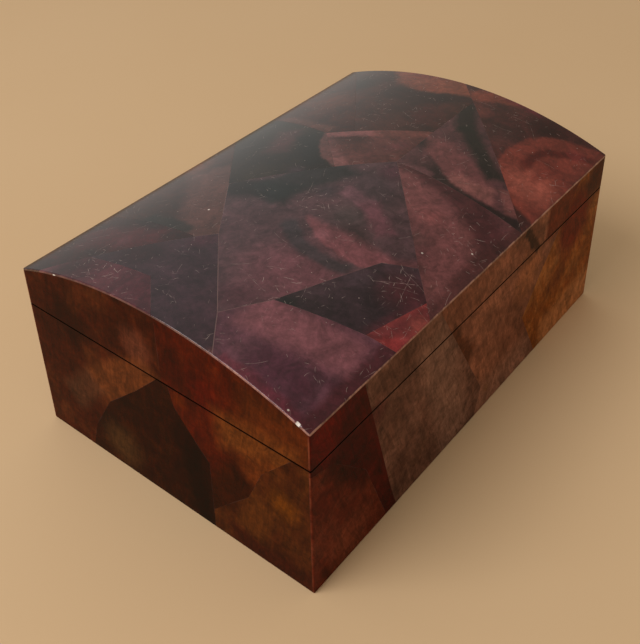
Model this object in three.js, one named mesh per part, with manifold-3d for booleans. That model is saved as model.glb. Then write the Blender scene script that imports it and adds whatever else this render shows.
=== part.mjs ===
// A table box with an arched lid that lifts off. Two hollow wooden cases, one for the body and one for
// the lid, are dressed all over in flat pieces of dyed shell. Millimetres, +Z up, the origin in the
// middle of the underside, X along the box. The front faces -Y and the left end faces -X.
import * as THREE from 'three';
import { mergeVertices } from 'three/addons/utils/BufferGeometryUtils.js';
import Module from 'manifold-3d';

const wasm = await Module();
wasm.setup();

// Driving dimensions
const length = 300;
const width = 200;
const seamHeight = 88; // from the underside to the line between body and lid
const lidSideHeight = 24; // from that line to the long arris of the lid
const crownRise = 19; // of the arch above that arris
const caseWall = 9;
const floorThickness = 9;
const crownThickness = 8;
const shellThickness = 1.2;
const glueLine = 0.3; // under the bent shell of the arch
const tileJoint = 0.3; // between neighbouring pieces of shell
const seamReveal = 0.8; // dark line between the shell of the body and that of the lid
const arrisRadius = 1; // of the long edges
const endArrisRadius = 0.8; // of the edges around each end, less than that of the long ones
const rimHeight = 4; // the rim of the body that locates the lid
const rimThickness = 4.2;
const rimClearance = 0.5;

// How finely the curves are divided
const crownSteps = 40;
const arrisSteps = 3;

// What follows from them
const lidArris = seamHeight + lidSideHeight;
const crownRadius = ((width / 2) ** 2 + crownRise ** 2) / (2 * crownRise);
const crownCentre = lidArris + crownRise - crownRadius;
const overall = lidArris + crownRise;
const clear = 10; // how far a cutting block runs past what it cuts

const X = new THREE.Vector3(1, 0, 0);
const Y = new THREE.Vector3(0, 1, 0);
const Z = new THREE.Vector3(0, 0, 1);

// Solids and how they are joined and cut

function solidOf(geometry) {
  const bare = geometry.clone();
  bare.deleteAttribute('normal');
  bare.deleteAttribute('uv');
  const closed = mergeVertices(bare, 1e-4);
  const triVerts = new Uint32Array(closed.index.array);
  const vertProperties = closed.attributes.position.array;
  return new wasm.Manifold(new wasm.Mesh({ numProp: 3, vertProperties, triVerts }));
}

function geometryOf(solid) {
  const { vertProperties, triVerts } = solid.getMesh();
  const geometry = new THREE.BufferGeometry();
  geometry.setAttribute('position', new THREE.BufferAttribute(vertProperties, 3));
  geometry.setIndex(new THREE.BufferAttribute(triVerts, 1));
  return geometry;
}

// A block between two corners
function block(low, high) {
  const size = high.map((value, axis) => value - low[axis]);
  const geometry = new THREE.BoxGeometry(...size);
  geometry.translate(...high.map((value, axis) => (value + low[axis]) / 2));
  return solidOf(geometry);
}

// A flat outline in the plane of two axes, drawn out along the third between two places
function drawnOut(outline, across, up, from, to, rounding = 0) {
  const along = new THREE.Vector3().crossVectors(across, up);
  const geometry = new THREE.ExtrudeGeometry(new THREE.Shape(outline), {
    depth: to - from - 2 * rounding,
    bevelEnabled: rounding > 0,
    bevelThickness: rounding,
    bevelSize: rounding,
    bevelOffset: -rounding,
    bevelSegments: arrisSteps,
  });
  geometry.translate(0, 0, from + rounding);
  geometry.applyMatrix4(new THREE.Matrix4().makeBasis(across, up, along));
  return solidOf(geometry);
}

function arc(centreAcross, centreUp, radius, start, end, steps) {
  return Array.from({ length: steps + 1 }, (_, step) => {
    const angle = start + ((end - start) * step) / steps;
    const across = centreAcross + radius * Math.cos(angle);
    return new THREE.Vector2(across, centreUp + radius * Math.sin(angle));
  });
}

// The cross-section of the closed box: straight sides under an arch, with every corner rounded
function outerSection() {
  const radius = arrisRadius;
  const side = width / 2 - radius;
  const shoulder = crownCentre + Math.sqrt((crownRadius - radius) ** 2 - side ** 2);
  const lean = Math.atan2(shoulder - crownCentre, side);
  return [
    ...arc(side, radius, radius, -Math.PI / 2, 0, arrisSteps),
    ...arc(side, shoulder, radius, 0, lean, arrisSteps),
    ...arc(0, crownCentre, crownRadius, lean, Math.PI - lean, crownSteps).slice(1, -1),
    ...arc(-side, shoulder, radius, Math.PI - lean, Math.PI, arrisSteps),
    ...arc(-side, radius, radius, Math.PI, 1.5 * Math.PI, arrisSteps),
  ];
}

// The same section inside it: sharp corners, from a floor up to an arch that lies depth below the top
function innerSection(side, floor, depth) {
  const radius = crownRadius - depth;
  const spring = Math.acos(side / radius);
  return [
    new THREE.Vector2(-side, floor),
    new THREE.Vector2(side, floor),
    ...arc(0, crownCentre, radius, spring, Math.PI - spring, crownSteps),
  ];
}

// Everything below an arch that lies depth below the top, out past the sides and the underside
function underArch(depth) {
  const side = width / 2;
  const arch = innerSection(side, -clear, depth).slice(2);
  const section = [
    new THREE.Vector2(-side - clear, -clear),
    new THREE.Vector2(side + clear, -clear),
    new THREE.Vector2(side + clear, arch[0].y),
    ...arch,
    new THREE.Vector2(-side - clear, arch[0].y),
  ];
  return alongBox(section, length);
}

function alongBox(section, halfLength, rounding = 0) {
  return drawnOut(section, Y, Z, -halfLength, halfLength, rounding);
}

// The wooden cases

const caseLength = length / 2 - shellThickness;
const caseWidth = width / 2 - shellThickness;
const insideLength = caseLength - caseWall;
const insideWidth = caseWidth - caseWall;
const crownBed = shellThickness + glueLine;

function rim(thickness, low, high) {
  const reachX = insideLength + thickness;
  const reachY = insideWidth + thickness;
  const inside = [insideLength, insideWidth];
  const outer = block([-reachX, -reachY, low], [reachX, reachY, high]);
  return outer.subtract(block([...inside.map((n) => -n), low - clear], [...inside, high + clear]));
}

function closedCase() {
  const outside = alongBox(innerSection(caseWidth, 0, crownBed), caseLength);
  const ceiling = crownBed + crownThickness;
  const hollow = alongBox(innerSection(insideWidth, floorThickness, ceiling), insideLength);
  return outside.subtract(hollow);
}

function below(height) {
  return block([-length, -width, -clear], [length, width, height]);
}

function above(height) {
  return block([-length, -width, height], [length, width, overall + clear]);
}

function bodyCase() {
  const upstand = rim(rimThickness, seamHeight - rimHeight, seamHeight + rimHeight);
  return closedCase().intersect(below(seamHeight)).add(upstand);
}

function lidCase() {
  const recess = rim(rimThickness + rimClearance, seamHeight - clear, seamHeight + rimHeight + rimClearance);
  return closedCase().intersect(above(seamHeight)).subtract(recess);
}

// The sheet of shell on each face, before it is divided into pieces

const outside = alongBox(outerSection(), length / 2, endArrisRadius);
const underShell = underArch(shellThickness);
const underGlue = underArch(crownBed);
const endReach = caseWidth - tileJoint;

// What is left of the outside, under the shell of the arch, between two corners
function uprightSheet(low, high) {
  return outside.intersect(underGlue).intersect(block([...low, -clear], [...high, overall]));
}

const faces = {
  top: {
    axes: [X, Y],
    sheet: outside.subtract(underShell),
    span: [0, overall + clear],
  },
  front: {
    axes: [X, Z],
    sheet: uprightSheet([-length, -width], [length, -caseWidth]),
    span: [0, width],
  },
  back: {
    axes: [X, Z],
    sheet: uprightSheet([-length, caseWidth], [length, width]),
    span: [-width, 0],
  },
  left: {
    axes: [Y, Z],
    sheet: uprightSheet([-length, -endReach], [-caseLength, endReach]),
    span: [-length, 0],
  },
  right: {
    axes: [Y, Z],
    sheet: uprightSheet([caseLength, -endReach], [length, endReach]),
    span: [0, length],
  },
};

// Corners of the pieces of shell, as shares of the face. The first number runs from 0 to 1 along the box
// on the top, front and back, and across it on the ends. The second runs from 0 to 1 across the top. On
// the sides and ends it is 0 at the underside, 1 at the line between body and lid, and 2 at the top.
const acrossTop = 1;
const lidLine = 1;
const lidTop = 2;

const topCorners = {
  frontLeft: [0, 0],
  frontRight: [1, 0],
  backRight: [1, 1],
  backLeft: [0, 1],
  ridgeStart: [0, 0.285],
  ridgeKite: [0.073, 0.37],
  ridgeStrip: [0.233, 0.59],
  ridgeHead: [0.383, 0.764],
  ridgeEnd: [0.573, 1],
  kiteLeft: [0.157, 0.3],
  kiteTop: [0.36, 0.192],
  kiteRight: [0.4, 0.115],
  kiteFoot: [0.347, 0.0365],
  kiteHeel: [0.21, 0.078],
  wedgeLeft: [0.223, 0],
  wedgeRight: [0.322, 0],
  hub: [0.627, 0.42],
  bladeFoot: [0.636, 0],
  fanLeft: [0.537, 0.55],
  fanBack: [0.647, 0.71],
  fanNotch: [0.68, 0.635],
  fanRight: [0.77, 0.43],
  bladeHead: [0.933, 0.433],
  rightEdge: [1, 0.525],
  farBend: [0.813, 0.78],
  farEdge: [1, 0.985],
  backMiddle: [0.693, 1],
  stripBend: [0.204, 0.635],
  stripEnd: [0.207, 1],
  cornerBend: [0.067, 0.83],
  cornerEnd: [0, 0.925],
  patchBend: [0.073, 0.6],
  patchEnd: [0, 0.485],
};

const frontCorners = {
  bottomLeft: [0, 0],
  bottomRight: [1, 0],
  topRight: [1, 2],
  topLeft: [0, 2],
  bandFoot: [0.207, 0],
  bandKnee: [0.143, 0.59],
  bandShoulder: [0.057, 0.9],
  bandEdge: [0, 0.955],
  bandHeel: [0.237, 0],
  bandCalf: [0.217, 0.227],
  bandTop: [0.137, 2],
  middleFoot: [0.507, 0],
  middleKnee: [0.527, 0.227],
  middleTop: [0.353, 2],
  amberFoot: [0.757, 0],
  amberKnee: [0.68, 0.477],
  amberHip: [0.74, 0.727],
  amberTop: [0.887, 2],
};

const leftCorners = {
  bottomNear: [0, 0],
  bottomFar: [1, 0],
  topFar: [1, 2],
  topNear: [0, 2],
  lineNear: [0, 1],
  bellFarFoot: [0.82, 0],
  bellFarKnee: [0.79, 0.227],
  bellFarHip: [0.71, 0.534],
  bellFarNeck: [0.59, 0.784],
  bellFarHead: [0.498, 1],
  bellNearHead: [0.46, 1],
  bellNearNeck: [0.445, 0.852],
  bellNearHip: [0.375, 0.66],
  bellNearKnee: [0.334, 0.557],
  bellNearCalf: [0.335, 0.16],
  bellNearFoot: [0.336, 0],
  nearHeel: [0.3, 0.25],
  nearKnee: [0.205, 0.477],
  nearHip: [0.155, 0.74],
  nearHead: [0.055, 1],
  crownNotch: [0.48, 1],
  crownTop: [0.48, 2],
};

const rightCorners = {
  bottomNear: [0, 0],
  bottomFar: [1, 0],
  topFar: [1, 2],
  topNear: [0, 2],
  lineNear: [0, 1],
  firstFoot: [0.27, 0],
  firstHead: [0.12, 1],
  crossing: [0.44, 0.6],
  secondFoot: [0.66, 0],
  secondTop: [0.58, 2],
};

const backCorners = {
  bottomLeft: [0, 0],
  bottomRight: [1, 0],
  topRight: [1, 2],
  topLeft: [0, 2],
  lineRight: [1, 1],
  firstFoot: [0.2, 0],
  firstTop: [0.36, 2],
  secondFoot: [0.56, 0],
  secondKnee: [0.47, 0.8],
  secondTop: [0.62, 2],
  thirdFoot: [0.83, 0],
  thirdKnee: [0.74, 0.85],
};

// Colours of the dyed shell
const plum = 0x4e1a2b;
const oxblood = 0x5c1c1e;
const smoke = 0x2a1a1e;
const scarlet = 0x8c2a24;
const rosewood = 0x6a2c24;
const amber = 0x8a4a22;
const olive = 0x3a2616;

// Each row: a piece's name, its colour, and the corners that its outline passes
const layouts = {
  top: {
    corners: topCorners,
    pieces: [
      ['front_left_corner', plum, 'frontLeft wedgeLeft kiteHeel kiteLeft ridgeKite ridgeStart'],
      ['red_wedge', scarlet, 'wedgeLeft wedgeRight kiteFoot kiteHeel'],
      ['dark_kite', smoke, 'kiteHeel kiteFoot kiteRight kiteTop kiteLeft'],
      ['centre', plum, 'ridgeKite kiteLeft kiteTop kiteRight hub fanLeft ridgeHead ridgeStrip'],
      ['front_middle', oxblood, 'wedgeRight bladeFoot hub kiteRight kiteFoot'],
      ['blade', rosewood, 'bladeFoot bladeHead fanRight hub'],
      ['front_right_corner', scarlet, 'bladeFoot frontRight rightEdge bladeHead'],
      ['fan', rosewood, 'fanLeft hub fanRight fanNotch fanBack'],
      ['right', plum, 'fanNotch fanRight bladeHead rightEdge farEdge farBend'],
      ['back_right_corner', oxblood, 'fanBack fanNotch farBend farEdge backRight backMiddle'],
      ['back_middle', smoke, 'ridgeHead fanLeft fanBack backMiddle ridgeEnd'],
      ['back_strip', oxblood, 'stripBend ridgeStrip ridgeHead ridgeEnd stripEnd'],
      ['back_left_corner', plum, 'cornerEnd cornerBend stripBend stripEnd backLeft'],
      ['left', plum, 'ridgeStart ridgeKite ridgeStrip stripBend cornerBend patchBend patchEnd'],
      ['left_patch', oxblood, 'patchEnd patchBend cornerBend cornerEnd'],
    ],
  },
  front: {
    corners: frontCorners,
    pieces: [
      ['left', rosewood, 'bottomLeft bandFoot bandKnee bandShoulder bandEdge'],
      ['band', oxblood, 'bandFoot bandHeel bandCalf bandTop topLeft bandEdge bandShoulder bandKnee'],
      ['middle_left', rosewood, 'bandHeel middleFoot middleKnee middleTop bandTop bandCalf'],
      [
        'middle_right',
        rosewood,
        'middleFoot amberFoot amberKnee amberHip amberTop middleTop middleKnee',
      ],
      ['right', amber, 'amberFoot bottomRight topRight amberTop amberHip amberKnee'],
    ],
  },
  left: {
    corners: leftCorners,
    pieces: [
      [
        'back',
        rosewood,
        'bellFarFoot bottomFar topFar crownTop crownNotch bellFarHead bellFarNeck bellFarHip bellFarKnee',
      ],
      [
        'bell',
        olive,
        'bellNearFoot bellFarFoot bellFarKnee bellFarHip bellFarNeck bellFarHead bellNearHead ' +
          'bellNearNeck bellNearHip bellNearKnee bellNearCalf',
      ],
      [
        'middle',
        amber,
        'bellNearCalf bellNearKnee bellNearHip bellNearNeck bellNearHead crownNotch crownTop topNear ' +
          'lineNear nearHead nearHip nearKnee nearHeel',
      ],
      [
        'front',
        rosewood,
        'bottomNear bellNearFoot bellNearCalf nearHeel nearKnee nearHip nearHead lineNear',
      ],
    ],
  },
  right: {
    corners: rightCorners,
    pieces: [
      ['front', rosewood, 'bottomNear firstFoot crossing firstHead lineNear'],
      ['foot', olive, 'firstFoot secondFoot crossing'],
      ['middle', amber, 'crossing secondTop topNear lineNear firstHead'],
      ['back', rosewood, 'secondFoot bottomFar topFar secondTop crossing'],
    ],
  },
  back: {
    corners: backCorners,
    pieces: [
      ['left', rosewood, 'bottomLeft firstFoot firstTop topLeft'],
      ['middle_left', amber, 'firstFoot secondFoot secondKnee secondTop firstTop'],
      [
        'middle_right',
        rosewood,
        'secondFoot thirdFoot thirdKnee lineRight topRight secondTop secondKnee',
      ],
      ['right', olive, 'thirdFoot bottomRight lineRight thirdKnee'],
    ],
  },
};

// Where a corner lies on its face, in millimetres along the face's two axes
function placeOf(side, [along, rise]) {
  if (side === 'top') {
    return new THREE.Vector2((along - 0.5) * length, (rise - 0.5) * width);
  }
  const onEnd = side === 'left' || side === 'right';
  const lidHeight = (onEnd ? overall : lidArris) - seamHeight;
  const height = Math.min(rise, lidLine) * seamHeight + Math.max(rise - lidLine, 0) * lidHeight;
  return new THREE.Vector2((along - 0.5) * (onEnd ? width : length), height);
}

// A turn below this, as a sine, counts as none
const straight = 1e-6;

// Moves each edge of an outline outwards by its own amount and lets the moved edges meet again
function moveEdges(outline, moves) {
  const edges = outline.map((corner, n) => {
    const run = outline[(n + 1) % outline.length].clone().sub(corner).normalize();
    const outwards = new THREE.Vector2(run.y, -run.x);
    return { start: corner.clone().addScaledVector(outwards, moves[n]), run };
  });
  return edges.map((edge, n) => {
    const before = edges.at(n - 1);
    const turn = before.run.cross(edge.run);
    const gap = edge.start.clone().sub(before.start);
    if (Math.abs(turn) < straight) {
      return edge.start;
    }
    return before.start.clone().addScaledVector(before.run, gap.cross(edge.run) / turn);
  });
}

// Whether the line between two corners lies on an edge of the face
function onFaceEdge([along, rise], [nextAlong, nextRise], highest) {
  const upright = along === nextAlong && (along === 0 || along === 1);
  const level = rise === nextRise && (rise === 0 || rise === highest);
  return upright || level;
}

// One piece of shell: half a joint smaller than its outline, and cut off by the sheet at the face's edges
function pieceOfShell(side, corners, outlineNames) {
  const shares = outlineNames.split(' ').map((name) => corners[name]);
  const highest = side === 'top' ? acrossTop : lidTop;
  const moves = shares.map((share, n) => {
    const next = shares[(n + 1) % shares.length];
    return onFaceEdge(share, next, highest) ? clear : -tileJoint / 2;
  });
  const outline = moveEdges(shares.map((share) => placeOf(side, share)), moves);
  const { axes, sheet, span } = faces[side];
  return drawnOut(outline, ...axes, ...span).intersect(sheet);
}

const box = new THREE.Group();

function place(name, solid, color, roughness) {
  const finish = new THREE.MeshStandardMaterial({ color, roughness, metalness: 0, flatShading: true });
  const mesh = new THREE.Mesh(geometryOf(solid), finish);
  mesh.name = name;
  box.add(mesh);
}

const wood = 0x8b6a48;
const woodRoughness = 0.6;
const lacquerRoughness = 0.1;

place('body_case', bodyCase(), wood, woodRoughness);
place('lid_case', lidCase(), wood, woodRoughness);

const bodyPart = below(seamHeight - seamReveal / 2);
const lidPart = above(seamHeight + seamReveal / 2);

for (const [side, { corners, pieces }] of Object.entries(layouts)) {
  for (const [name, color, outlineNames] of pieces) {
    const piece = pieceOfShell(side, corners, outlineNames);
    const rises = outlineNames.split(' ').map((corner) => corners[corner][1]);
    if (side === 'top') {
      place(`shell_top_${name}`, piece, color, lacquerRoughness);
      continue;
    }
    if (Math.min(...rises) < lidLine) {
      place(`shell_${side}_body_${name}`, piece.intersect(bodyPart), color, lacquerRoughness);
    }
    if (Math.max(...rises) > lidLine) {
      place(`shell_${side}_lid_${name}`, piece.intersect(lidPart), color, lacquerRoughness);
    }
  }
}

export default box;
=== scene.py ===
import math

import bmesh
import bpy
from mathutils import Matrix, Vector, geometry, noise


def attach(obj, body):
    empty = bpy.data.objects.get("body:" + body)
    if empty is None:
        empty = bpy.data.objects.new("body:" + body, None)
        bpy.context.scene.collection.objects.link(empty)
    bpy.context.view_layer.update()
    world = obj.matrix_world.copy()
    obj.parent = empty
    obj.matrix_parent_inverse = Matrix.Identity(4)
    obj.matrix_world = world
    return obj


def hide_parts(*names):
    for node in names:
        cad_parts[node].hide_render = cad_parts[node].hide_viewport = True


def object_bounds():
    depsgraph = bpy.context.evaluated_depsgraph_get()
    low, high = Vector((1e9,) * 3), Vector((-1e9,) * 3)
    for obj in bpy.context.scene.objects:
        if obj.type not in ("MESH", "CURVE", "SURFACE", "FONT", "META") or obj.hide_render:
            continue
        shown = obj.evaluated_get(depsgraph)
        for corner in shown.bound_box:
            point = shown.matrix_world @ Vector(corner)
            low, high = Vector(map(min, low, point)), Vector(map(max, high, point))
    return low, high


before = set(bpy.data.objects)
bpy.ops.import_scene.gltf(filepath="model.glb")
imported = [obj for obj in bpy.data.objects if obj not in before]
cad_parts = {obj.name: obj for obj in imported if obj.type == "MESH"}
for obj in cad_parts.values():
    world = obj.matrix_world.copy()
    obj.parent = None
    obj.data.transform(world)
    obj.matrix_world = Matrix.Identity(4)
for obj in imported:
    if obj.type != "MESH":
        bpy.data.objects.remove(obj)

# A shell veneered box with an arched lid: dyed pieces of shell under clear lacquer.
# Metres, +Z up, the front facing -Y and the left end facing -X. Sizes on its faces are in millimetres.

MM = 0.001
PER_METRE = 1000.0

# Sizes of the box, in millimetres

cad_low, cad_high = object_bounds()
HALF_LENGTH = cad_high.x / MM
HALF_WIDTH = cad_high.y / MM
OVERALL = cad_high.z / MM
LID_ARRIS = 112.0
CROWN_RISE = OVERALL - LID_ARRIS
CROWN_RADIUS = (HALF_WIDTH**2 + CROWN_RISE**2) / (2 * CROWN_RISE)
CROWN_CENTRE = OVERALL - CROWN_RADIUS
SEAM = 88.0
SHELL = 1.2
LONG_ARRIS = 1.0
END_ARRIS = 0.8

# The joints between pieces: as wide as the frame needs, as wide as they show, and the rim beside them
JOINT = 0.3
JOINT_SHOWN = 0.06
RIM_OF_GLUE = 0.45

# Where the rounding of the long arris starts, and the place of its centre
ARRIS_SIDE = HALF_WIDTH - LONG_ARRIS
SHOULDER = CROWN_CENTRE + math.sqrt((CROWN_RADIUS - LONG_ARRIS) ** 2 - ARRIS_SIDE**2)
ARRIS_START = ARRIS_SIDE + LONG_ARRIS * ARRIS_SIDE / (CROWN_RADIUS - LONG_ARRIS)
END_START = HALF_LENGTH - END_ARRIS

# How far apart the arch is sliced, and the shares of its rounding where an arris is
CROWN_SLICE = 2.0
ROUNDING = (0.0, 0.25, 0.5, 0.72, 0.88, 0.97)

# The level above which an edge lies under the arch, how far the front and back stop below the shell of
# the top, and how far the short chords of the frame's arc may fall inside it
UNDER_ARCH = LID_ARRIS - 5.0
UNDER_TOP = 0.01
ARC_SAG = 0.08

# How near counts as on the arris, as level, as one place in a sheet, as one corner of a solid (this one
# in metres), as on the line between two neighbours, and as too near an edge for a slice
ON_ARRIS = 0.05
LEVEL = 0.01
SAME_PLACE = 0.0001
SAME_CORNER = 0.000002
IDLE = 0.004
OFF_EDGE = 0.01


# The faces of the box

def rounded(past, radius):
    """How deep a rounded arris lies below its face, and the sine of its lean, at a distance into it."""
    lean = min(max(past / radius, 0.0), 1.0)
    return radius * (1 - math.sqrt(1 - lean**2)), lean


def steps_between(low, high, pitch):
    count = math.ceil((high - low) / pitch)
    return [low + (high - low) * n / count for n in range(1, count)]


class Crown:
    """The arched top. Its plan runs along X and Y."""

    turned = False
    half = HALF_LENGTH

    def plan(self, point):
        return Vector((point.x, point.y)) / MM

    def is_glued(self, normal):
        return normal.z < -0.5

    def outward(self, start, end):
        middle = (start + end) / 2
        on_arris = abs(middle.x) > HALF_LENGTH - ON_ARRIS or abs(middle.y) > HALF_WIDTH - ON_ARRIS
        return None if on_arris else (JOINT - JOINT_SHOWN) / 2

    def slices(self, low, high):
        ends = [END_START + END_ARRIS * share for share in ROUNDING]
        sides = [ARRIS_START + (HALF_WIDTH - ARRIS_START) * share for share in ROUNDING]
        across = steps_between(-ARRIS_START, ARRIS_START, CROWN_SLICE)
        along = [sign * place for sign in (-1, 1) for place in ends]
        along += chip_slices(low)
        return along, across + [sign * place for sign in (-1, 1) for place in sides]

    def skin(self, x, y):
        depth, lean = rounded(abs(x) - END_START, END_ARRIS)
        depth += chip_depth(x, y)
        if abs(y) <= ARRIS_START:
            normal = Vector((0, y, math.sqrt(CROWN_RADIUS**2 - y**2))) / CROWN_RADIUS
            point = Vector((x, 0, CROWN_CENTRE)) + normal * (CROWN_RADIUS - depth)
        else:
            level = (abs(y) - ARRIS_SIDE) / LONG_ARRIS
            normal = Vector((0, math.copysign(level, y), math.sqrt(max(1 - level**2, 0))))
            centre = Vector((x, math.copysign(ARRIS_SIDE, y), SHOULDER))
            point = centre + normal * (LONG_ARRIS - depth)
        toward_end = Vector((math.copysign(1, x), 0, 0))
        return point, normal * math.sqrt(1 - lean**2) + toward_end * lean

    def glue(self, x, point):
        level = CROWN_CENTRE + math.sqrt((CROWN_RADIUS - SHELL) ** 2 - point.y**2)
        return Vector((x, point.y, level))


class LongSide:
    """The front or the back. Its plan runs along X and Z."""

    half = HALF_LENGTH

    def __init__(self, sign):
        self.sign = sign
        self.turned = sign > 0

    def plan(self, point):
        return Vector((point.x, point.z)) / MM

    def is_glued(self, normal):
        return normal.y * self.sign < -0.9

    def outward(self, start, end):
        middle = (start + end) / 2
        level = abs(start.y - end.y) < LEVEL
        if abs(middle.x) > HALF_LENGTH - ON_ARRIS:
            return None
        if level and middle.y > UNDER_ARCH:
            return self.top_edge() - middle.y
        return None if level else (JOINT - JOINT_SHOWN) / 2

    def top_edge(self):
        """The level where the front and back stop, just under the shell of the top."""
        return CROWN_CENTRE + math.sqrt((CROWN_RADIUS - SHELL) ** 2 - HALF_WIDTH**2) - UNDER_TOP

    def slices(self, low, high):
        ends = [END_START + END_ARRIS * share for share in ROUNDING]
        along = [sign * place for sign in (-1, 1) for place in ends]
        return along, [LONG_ARRIS * (1 - share) for share in ROUNDING]

    def skin(self, x, z):
        depth, lean = rounded(abs(x) - END_START, END_ARRIS)
        sink = min(max(1 - z / LONG_ARRIS, 0.0), 1.0)
        normal = Vector((0, self.sign * math.sqrt(1 - sink**2), -sink))
        centre = Vector((x, self.sign * ARRIS_SIDE, max(z, LONG_ARRIS)))
        point = centre + normal * (LONG_ARRIS - depth)
        toward_end = Vector((math.copysign(1, x), 0, 0))
        return point, normal * math.sqrt(1 - lean**2) + toward_end * lean

    def glue(self, x, point):
        return Vector((x, self.sign * (HALF_WIDTH - SHELL), point.z))


class End:
    """The left or the right end. Its plan runs along Y and Z."""

    half = HALF_WIDTH

    def __init__(self, sign):
        self.sign = sign
        self.turned = sign < 0

    def plan(self, point):
        return Vector((point.y, point.z)) / MM

    def is_glued(self, normal):
        return normal.x * self.sign < -0.9

    def outward(self, start, end):
        middle = (start + end) / 2
        if abs(middle.x) > HALF_WIDTH - SHELL - 2 * JOINT:
            return JOINT - JOINT_SHOWN
        if min(start.y, end.y) > UNDER_ARCH:
            return JOINT - JOINT_SHOWN
        level = abs(start.y - end.y) < LEVEL
        return None if level else (JOINT - JOINT_SHOWN) / 2

    def slices(self, low, high):
        across = steps_between(-HALF_WIDTH, HALF_WIDTH, CROWN_SLICE) if high.y > LID_ARRIS else []
        return across, [END_ARRIS * (1 - share) for share in ROUNDING]

    def skin(self, y, z):
        height = self.under_arch(y, z)
        sink = min(max(1 - height / END_ARRIS, 0.0), 1.0)
        normal = Vector((self.sign * math.sqrt(1 - sink**2), 0, -sink))
        x = self.sign * (END_START + END_ARRIS * math.sqrt(1 - sink**2))
        return Vector((x, y, height)), normal

    def under_arch(self, y, z):
        """Brings the top edge, a row of short chords in the frame, out to the true arc."""
        reach = CROWN_RADIUS - SHELL - JOINT_SHOWN / 2
        radius = math.hypot(y, z - CROWN_CENTRE)
        on_edge = radius > reach - ARC_SAG
        return CROWN_CENTRE + math.sqrt(reach**2 - y**2) if on_edge else z

    def glue(self, y, point):
        return Vector((self.sign * (HALF_LENGTH - SHELL), y, point.z))


SIDES = {
    "top": Crown(),
    "front": LongSide(-1),
    "back": LongSide(1),
    "left": End(-1),
    "right": End(1),
}

# Chips along the arris of the left end of the lid: the place across it, the half length, the bite
CHIPS = [(-93.2, 1.4, 0.6), (-84.6, 0.5, 0.3), (-66.8, 0.6, 0.34), (72.0, 0.45, 0.28)]

# How far in the chips reach, how finely the lid is sliced there, and how ragged their outlines are
CHIP_REACH = 1.1
CHIP_SLICE = 0.25
CHIP_RAGGED = 0.35
CHIP_GRAIN = 1.7


def chip_depth(x, y):
    """How deep the lacquer and shell are broken away along the left end's arris."""
    inward = x + HALF_LENGTH
    if inward > 2 * CHIP_REACH:
        return 0.0
    deepest = 0.0
    for place, half, bite in CHIPS:
        ragged = 1 + CHIP_RAGGED * noise.noise(Vector((x * CHIP_GRAIN, y * CHIP_GRAIN, place)))
        across = (y - place) / (half * ragged)
        along = inward / (CHIP_REACH * ragged)
        deepest = max(deepest, bite * (1 - across**2 - along**2))
    return deepest


def chip_slices(low):
    if low.x > CHIP_REACH - HALF_LENGTH:
        return []
    count = int(2 * CHIP_REACH / CHIP_SLICE)
    return [-HALF_LENGTH + CHIP_SLICE * n for n in range(1, count + 1)]


# Meshes of the pieces of shell

def glued_outline(node, side):
    """The outline of a piece of shell, from the face of its solid that the glue holds."""
    solid = bmesh.new()
    solid.from_mesh(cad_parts[node].data)
    bmesh.ops.remove_doubles(solid, verts=solid.verts, dist=SAME_CORNER)
    glued = [face for face in solid.faces if side.is_glued(face.normal)]
    following = {}
    for face in glued:
        for loop in face.loops:
            if not any(other in glued for other in loop.edge.link_faces if other is not face):
                following[loop.vert] = loop.link_loop_next.vert
    first = next(iter(following))
    ring = [first]
    while following[ring[-1]] is not first:
        ring.append(following[ring[-1]])
    outline = [side.plan(vert.co) for vert in ring]
    solid.free()
    area = sum(a.x * b.y - b.x * a.y for a, b in zip(outline, outline[1:] + outline[:1]))
    if area < 0:
        outline.reverse()
    return without_idle_points(outline)


def without_idle_points(outline):
    """Leaves out points that lie on the line between their neighbours."""
    kept = list(outline)
    n = 0
    while n < len(kept):
        before, point, after = kept[n - 1], kept[n], kept[(n + 1) % len(kept)]
        run = (after - before).normalized()
        if abs(run.cross(point - before)) < IDLE:
            kept.pop(n)
        else:
            n += 1
    return kept


def move_edges(outline, moves):
    """Moves each edge of an outline outwards by its own amount and lets the moved edges meet again."""
    edges = []
    for n, corner in enumerate(outline):
        run = (outline[(n + 1) % len(outline)] - corner).normalized()
        edges.append((corner + Vector((run.y, -run.x)) * moves[n], run))
    moved = []
    for n, (start, run) in enumerate(edges):
        before, run_before = edges[n - 1]
        turn = run_before.cross(run)
        along = (start - before).cross(run) / turn
        moved.append(before + run_before * along)
    return moved


def kept_on(side, outline):
    """Brings a corner that a moved edge pushed past the end of its side back onto it."""
    return [Vector((min(max(p.x, -side.half), side.half), p.y)) for p in outline]


def flat_piece(outline, side):
    """A flat sheet in the plan of its side, with a narrow ring along its joints, sliced for its curves."""
    outward = [side.outward(a, b) for a, b in zip(outline, outline[1:] + outline[:1])]
    outer = kept_on(side, move_edges(outline, [move or 0.0 for move in outward]))
    inner = move_edges(outline, [0.0 if move is None else move - RIM_OF_GLUE for move in outward])
    inner = kept_on(side, inner)
    sheet = bmesh.new()
    joint = sheet.verts.layers.float.new("joint")
    rim = [sheet.verts.new((p.x, p.y, 0)) for p in outer]
    core = [sheet.verts.new((p.x, p.y, 0)) for p in inner]
    for n, move in enumerate(outward):
        if move is not None:
            after = (n + 1) % len(outer)
            rim[n][joint] = rim[after][joint] = 1.0
            sheet.faces.new((rim[n], rim[after], core[after], core[n]))
    for corners in geometry.tessellate_polygon([[Vector((p.x, p.y, 0)) for p in inner]]):
        a, b, c = (inner[n] for n in corners)
        upward = (b - a).cross(c - a) > 0
        sheet.faces.new([core[n] for n in (corners if upward else reversed(corners))])
    bmesh.ops.remove_doubles(sheet, verts=sheet.verts, dist=SAME_PLACE)
    slice_sheet(sheet, side, outer)
    return sheet, joint


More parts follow.
